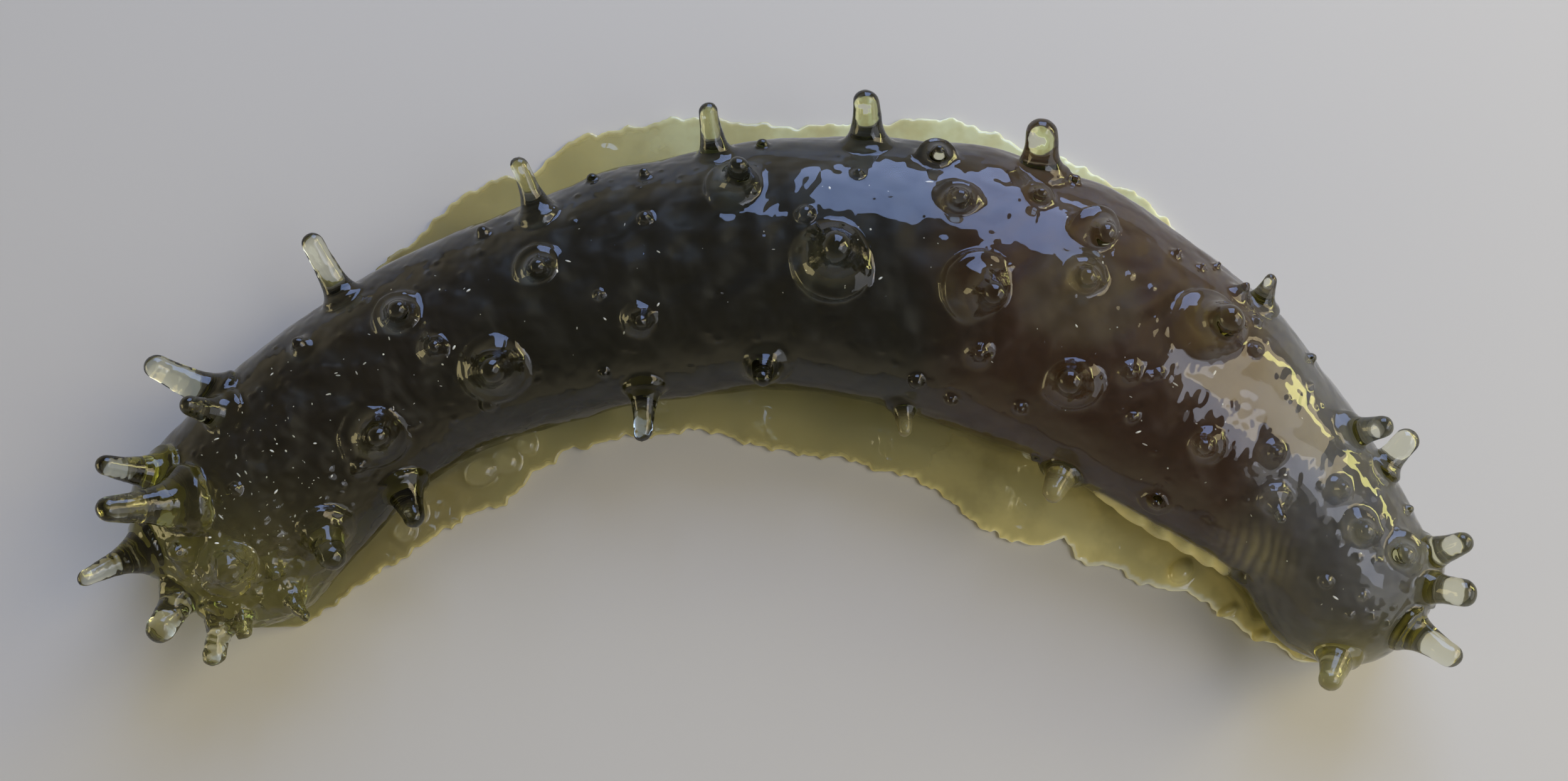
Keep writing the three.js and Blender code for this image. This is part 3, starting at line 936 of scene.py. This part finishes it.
class Socket:
    """An output socket of a node tree, with arithmetic that adds Math nodes."""

    def __init__(self, tree, output=None):
        self.tree = tree
        self.output = output

    def node(self, kind, settings=None, sockets=None, output=0):
        """Adds any node and gives one of its outputs."""
        node = self.tree.nodes.new(kind)
        for name, value in (settings or {}).items():
            setattr(node, name, value)
        for name, value in (sockets or {}).items():
            if isinstance(value, Socket):
                self.tree.links.new(value.output, node.inputs[name])
            else:
                node.inputs[name].default_value = value
        return Socket(self.tree, node.outputs[output]) if node.outputs else Socket(self.tree)

    def maths(self, operation, first, second=0.0):
        """One Math node."""
        return self.node("ShaderNodeMath", {"operation": operation}, {0: first, 1: second})

    def __add__(self, other):
        return self.maths("ADD", self, other)

    def __radd__(self, other):
        return self.maths("ADD", other, self)

    def __sub__(self, other):
        return self.maths("SUBTRACT", self, other)

    def __rsub__(self, other):
        return self.maths("SUBTRACT", other, self)

    def __mul__(self, other):
        return self.maths("MULTIPLY", self, other)

    def __rmul__(self, other):
        return self.maths("MULTIPLY", other, self)

    def noise(self, place, scale, detail):
        """One Noise Texture node, a smooth random value that changes faster at a larger scale."""
        return self.node("ShaderNodeTexNoise", sockets={"Vector": place, "Scale": scale, "Detail": detail})

    def rise(self, start, end):
        """This value as a smooth step from 0 at the start to 1 at the end."""
        span = {1: start, 2: end, 3: 0.0, 4: 1.0}
        return self.node("ShaderNodeMapRange", {"interpolation_type": "SMOOTHSTEP"}, {0: self, **span})

    def blend(self, first, second):
        """This value as the share of a second colour in a first."""
        return self.node("ShaderNodeMix", {"data_type": "RGBA"}, {0: self, 6: first, 7: second}, 2)


def new_material(name):
    """An empty material and its node maker."""
    material = bpy.data.materials.new(name)
    material.use_nodes = True
    material.node_tree.nodes.clear()
    return material, Socket(material.node_tree)


def place_of(maker):
    """The model's own coordinates, in metres, as a vector and as x, y and z."""
    place = maker.node("ShaderNodeTexCoord", output="Object")
    return place, *(maker.node("ShaderNodeSeparateXYZ", sockets={0: place}, output=axis) for axis in "XYZ")


def colour(red, green, blue):
    """A colour as a socket takes it."""
    return (red, green, blue, 1)


# %% [markdown]
# The resin is clear, with a faint olive tint that deepens with thickness: a volume that absorbs blue most.
# The flash cured in a thin film against what it lay on, and it came out yellower and cloudier than its
# thickness alone would make it. So in the lowest few millimetres the surface itself is tinted too: yellow,
# browner beside the head end, and paler and greener on the outer side of the bend. Where the mesh says the
# resin is cloudy, a share of an opaque glossy yellow or pale green is mixed into the glass. Where that value
# is painted light, the same opaque layer stands in for light, and the palest yellow is a painted highlight.

# %% Resin
RESIN_TINT = colour(0.66, 0.65, 0.25)
RESIN_DENSITY = 60
RESIN_IOR = 1.5
RESIN_ROUGHNESS = 0.03
CLEAR = colour(0.98, 0.98, 0.93)
CLEAR_YELLOW = colour(0.98, 0.97, 0.85)
FLASH_YELLOW = colour(0.95, 0.93, 0.7)
FLASH_OLIVE = colour(0.92, 0.91, 0.7)
FLASH_BROWN = colour(0.82, 0.78, 0.6)
FLASH_PALE = colour(0.97, 0.985, 0.88)
# Each span is where a change begins and where it is complete.
CLEAR_SPAN = -140 * MM, -100 * MM
BROWN_MIDDLE = -110 * MM
BROWN_SPAN = 10 * MM, 28 * MM
PALE_SPAN = -75 * MM, -25 * MM
CLOUD_YELLOW = colour(0.94, 0.83, 0.35)
# The pale haze, where the value is highest on the lip and the torn edge, is a painted highlight.
PALE_CLOUD_AND_HIGHLIGHT = colour(0.92, 0.9, 0.66)
CLOUD_GREEN = colour(0.94, 0.97, 0.58)
PALE_ABOVE = 0.85
MOTTLE_SCALE, MOTTLE_DETAIL = 60.0, 4.0
MOTTLE_SPAN = 0.4, 0.62
MOTTLE_IN_PALE = 0.6
MOTTLE_IN_CLOUD = 0.25


def make_resin():
    """Clear resin, yellow and a little cloudy where it is thin flash."""
    material, maker = new_material("olive_resin")
    place, x, y, z = place_of(maker)
    mottle = maker.noise(place, MOTTLE_SCALE, MOTTLE_DETAIL).rise(*MOTTLE_SPAN)
    clear_tint = x.rise(*CLEAR_SPAN).blend(CLEAR_YELLOW, CLEAR)
    brown = 1 - maker.maths("ABSOLUTE", x - BROWN_MIDDLE).rise(*BROWN_SPAN)
    pale = x.rise(*PALE_SPAN) * y.rise(*OUTER_SIDE)
    flash_tint = mottle.blend(FLASH_YELLOW, FLASH_OLIVE)
    flash_tint = brown.blend(flash_tint, FLASH_BROWN)
    flash_tint = pale.blend(flash_tint, FLASH_PALE)
    glass = maker.node("ShaderNodeBsdfPrincipled", sockets={
        "Base Color": z.rise(FLASH_TOP, BODY_FOOT).blend(flash_tint, clear_tint),
        "Roughness": RESIN_ROUGHNESS,
        "IOR": RESIN_IOR,
        "Transmission Weight": 1.0,
    })
    cloud_and_light = maker.node("ShaderNodeAttribute", {"attribute_name": "cloud_and_light"}, output="Fac")
    # Where the value is highest the haze turns pale: a painted highlight.
    haze_and_highlight = cloud_and_light.rise(PALE_ABOVE, 1).blend(CLOUD_YELLOW, PALE_CLOUD_AND_HIGHLIGHT)
    haze_and_highlight = (pale * (1 - MOTTLE_IN_PALE * mottle)).blend(haze_and_highlight, CLOUD_GREEN)
    opaque_haze_and_light = maker.node("ShaderNodeBsdfPrincipled", sockets={
        "Base Color": haze_and_highlight,
        "Roughness": RESIN_ROUGHNESS,
        "IOR": RESIN_IOR,
    })
    share = cloud_and_light * (1 - MOTTLE_IN_CLOUD * mottle)
    surface = maker.node("ShaderNodeMixShader", sockets={0: share, 1: glass, 2: opaque_haze_and_light})
    inside = maker.node("ShaderNodeVolumeAbsorption", sockets={"Color": RESIN_TINT, "Density": RESIN_DENSITY})
    maker.node("ShaderNodeOutputMaterial", sockets={"Surface": surface, "Volume": inside})
    return material


resin = make_resin()
skin.data.materials.append(resin)
print("nodes in the resin:", len(resin.node_tree.nodes))

# %% [markdown]
# The core is near-black brown. It is redder towards the head, and over the hind trunk it lightens to a warm
# red-brown with an olive patch on top. The tail is a dark bluish grey. Each zone is blended over the one
# before it, and a soft random drift keeps every border from being straight.

# %% Core finish
CORE_DARK = colour(0.008, 0.0065, 0.005)
CORE_RED = colour(0.016, 0.009, 0.006)
CORE_WARM = colour(0.072, 0.028, 0.014)
CORE_OLIVE = colour(0.125, 0.083, 0.053)
CORE_GREY = colour(0.145, 0.14, 0.17)
CORE_ROUGHNESS = 0.5
DARK_SPAN = -110 * MM, -60 * MM
WARM_SPAN = 22 * MM, 52 * MM
GREY_SPAN = 105 * MM, 130 * MM
OLIVE_PLACE = 6.85, 92
OLIVE_SPAN = 10 * MM, 17 * MM
DRIFT_SCALE, DRIFT_DETAIL = 25.0, 3.0
WANDER = 30 * MM
OLIVE_WANDER = 20 * MM


def make_core_finish():
    """Near-black brown, in soft zones along the body."""
    material, maker = new_material("dark_core")
    place, x, _, _ = place_of(maker)
    drift = maker.noise(place, DRIFT_SCALE, DRIFT_DETAIL) - 0.5
    along = x + WANDER * drift
    base = along.rise(*DARK_SPAN).blend(CORE_RED, CORE_DARK)
    base = along.rise(*WARM_SPAN).blend(base, CORE_WARM)
    station, degrees = OLIVE_PLACE
    middle = tuple(skin_point(np.array(station), np.radians(degrees)))
    ends = {0: place, 1: middle}
    away = maker.node("ShaderNodeVectorMath", {"operation": "DISTANCE"}, ends, output="Value")
    olive = 1 - (away + OLIVE_WANDER * drift).rise(*OLIVE_SPAN)
    base = olive.blend(base, CORE_OLIVE)
    base = along.rise(*GREY_SPAN).blend(base, CORE_GREY)
    look = {"Base Color": base, "Roughness": CORE_ROUGHNESS}
    surface = maker.node("ShaderNodeBsdfPrincipled", sockets=look)
    maker.node("ShaderNodeOutputMaterial", sockets={"Surface": surface})
    return material


core_finish = make_core_finish()
core.data.materials.append(core_finish)
print("nodes in the core finish:", len(core_finish.node_tree.nodes))

# %% [markdown]
# The specks are painted glints, so they are a plain silvery white.

# %% Finish of the painted glints
PAINTED_GLINT_WHITE = colour(0.9, 0.9, 0.84)
GLINT_SPECK_ROUGHNESS = 0.3


def make_glint_speck_finish():
    """Silvery white, for painted glints."""
    material, maker = new_material("painted_glint_specks")
    look = {"Base Color": PAINTED_GLINT_WHITE, "Roughness": GLINT_SPECK_ROUGHNESS}
    surface = maker.node("ShaderNodeBsdfPrincipled", sockets=look)
    maker.node("ShaderNodeOutputMaterial", sockets={"Surface": surface})
    return material


glint_speck_finish = make_glint_speck_finish()
painted_glint_specks.data.materials.append(glint_speck_finish)
print("nodes in the speck finish:", len(glint_speck_finish.node_tree.nodes))

# %% [markdown]
# The model lies on a plain pale floor, which sits a breath lower so that the two never share a surface.
# Glossy resin mirrors its surroundings, so the lights are soft panels whose shapes show as the highlights.
# Each is placed by its direction and by how wide and high it looks, which is how a highlight is read.

# %% Floor and light
FLOOR_DROP = 0.2 * MM
# The floor's size and the distance of the panels are in metres.
FLOOR_SIZE = 6
FLOOR_COLOUR = colour(0.58, 0.56, 0.51)
FLOOR_ROUGHNESS = 0.9
PANEL_DISTANCE = 1.5
# The watts that a square metre of panel needs for a radiance of 1.
WATTS_FOR_ONE = 4
# Each row is: name, azimuth, elevation, width and height in degrees, radiance in red, green and blue, and
# roll in degrees.
PANELS = [
    ("far_panel", 12, 34, 38, 45, (1.6, 2.2, 4.0), 0),
    ("right_panel", 72, 39, 19, 49, (2.8, 2.3, 1.4), 23),
    ("near_right_panel", 113, 55, 24, 18, (1.5, 1.6, 2.0), 5),
    ("low_strip", 74, 19, 30, 6, (6.5, 6.2, 2), 44),
    ("tail_panel", 110, 38, 46, 52, (0.85, 0.88, 0.95), 0),
    ("left_panel", 256, 13, 28, 18, (2.6, 2.2, 1.1), 0),
]
HORIZON = colour(0.52, 0.46, 0.33)
ZENITH = colour(0.11, 0.105, 0.095)
# The height of a direction runs from 0 at the horizon to 1 overhead.
ZENITH_HEIGHT = 0.7


def make_floor():
    """A plain pale floor."""
    half = FLOOR_SIZE / 2
    corners = np.array([[-half, -half, 0], [half, -half, 0], [half, half, 0], [-half, half, 0]])
    floor = make_object("floor", corners - [0, 0, FLOOR_DROP], np.array([[0, 1, 2, 3]]))
    material, maker = new_material("pale_floor")
    look = {"Base Color": FLOOR_COLOUR, "Roughness": FLOOR_ROUGHNESS}
    surface = maker.node("ShaderNodeBsdfPrincipled", sockets=look)
    maker.node("ShaderNodeOutputMaterial", sockets={"Surface": surface})
    floor.data.materials.append(material)
    return floor


def make_panel(name, azimuth, elevation, wide, high, radiance, roll):
    """A soft panel that faces the model from a compass direction (0 is +Y, 90 is +X), in degrees.

    It is as wide and high as it looks from the model, also in degrees.
    """
    light = bpy.data.lights.new(name, "AREA")
    light.shape = "RECTANGLE"
    light.size = 2 * PANEL_DISTANCE * math.tan(math.radians(wide / 2))
    light.size_y = 2 * PANEL_DISTANCE * math.tan(math.radians(high / 2))
    strongest = max(radiance)
    light.color = [value / strongest for value in radiance]
    light.energy = WATTS_FOR_ONE * strongest * light.size * light.size_y
    panel = bpy.data.objects.new(name, light)
    bpy.context.scene.collection.objects.link(panel)
    turn, tilt = math.radians(azimuth), math.radians(elevation)
    toward = np.array([math.sin(turn) * math.cos(tilt), math.cos(turn) * math.cos(tilt), math.sin(tilt)])
    panel.location = PANEL_DISTANCE * toward
    facing = Euler((math.pi / 2 - tilt, 0, math.pi - turn))
    panel.rotation_euler = (facing.to_matrix() @ Matrix.Rotation(math.radians(roll), 3, "Z")).to_euler()
    panel.visible_camera = False
    return panel


def make_room():
    """Warm light from all round, bright at the horizon and dim overhead."""
    world = bpy.data.worlds.new("room")
    world.use_nodes = True
    world.node_tree.nodes.clear()
    maker = Socket(world.node_tree)
    _, _, _, height = place_of(maker)
    tone = height.rise(0.0, ZENITH_HEIGHT).blend(HORIZON, ZENITH)
    glow = maker.node("ShaderNodeBackground", sockets={"Color": tone})
    maker.node("ShaderNodeOutputWorld", sockets={"Surface": glow})
    bpy.context.scene.world = world


floor = make_floor()
panels = [make_panel(*row) for row in PANELS]
make_room()
bpy.context.scene.view_settings.view_transform = "Standard"
print("lit by", len(panels), "panels and the room, over the", floor.name)

# %% [markdown]
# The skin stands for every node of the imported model. Skin, core and specks ride on its one body.

# %% Tie the pieces to the frame
for piece in (skin, core, painted_glint_specks):
    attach(piece, "root")
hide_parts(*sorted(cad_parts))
print("tied to the frame:", ", ".join(piece.name for piece in (skin, core, painted_glint_specks)))
